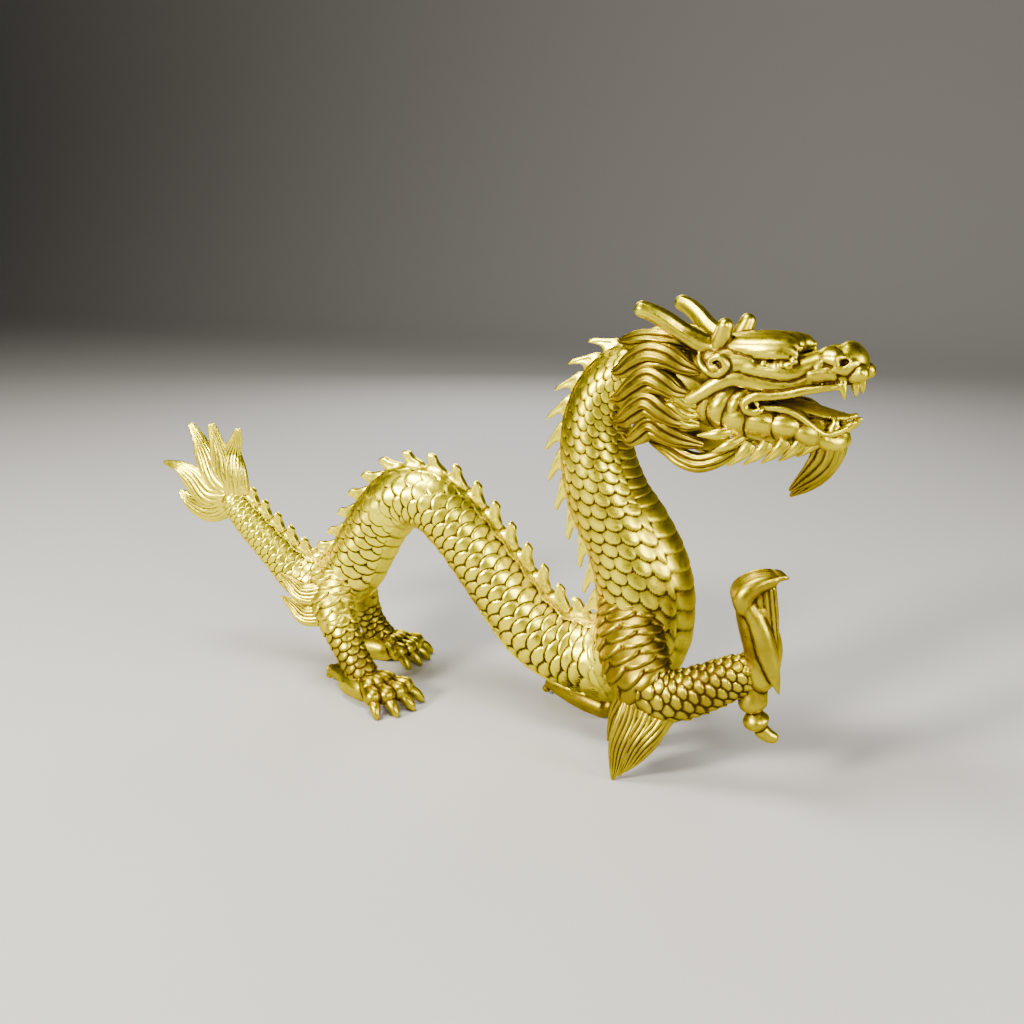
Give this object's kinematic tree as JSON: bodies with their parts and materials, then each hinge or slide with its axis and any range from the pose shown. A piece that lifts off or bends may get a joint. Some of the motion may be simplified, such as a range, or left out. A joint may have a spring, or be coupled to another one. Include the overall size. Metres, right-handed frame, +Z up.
{
  "type": "dragon sculpture",
  "caption": "Walking Chinese dragon cast in brass, with a looped scaly body, high maned head and one raised paw.",
  "frame": {"origin": "middle of the bounding box on the ground", "axes": "+X towards the head, +Z up, the raised paw on the -Y side"},
  "size_m": [0.3218, 0.0808, 0.1794],
  "materials": {
    "dragon_brass": "gold-toned brass with a satin polish, bright worn edges and brown patina in the hollows"
  },
  "bodies": {
    "root": {"dragon": "dragon_brass"}
  },
  "joints": []
}
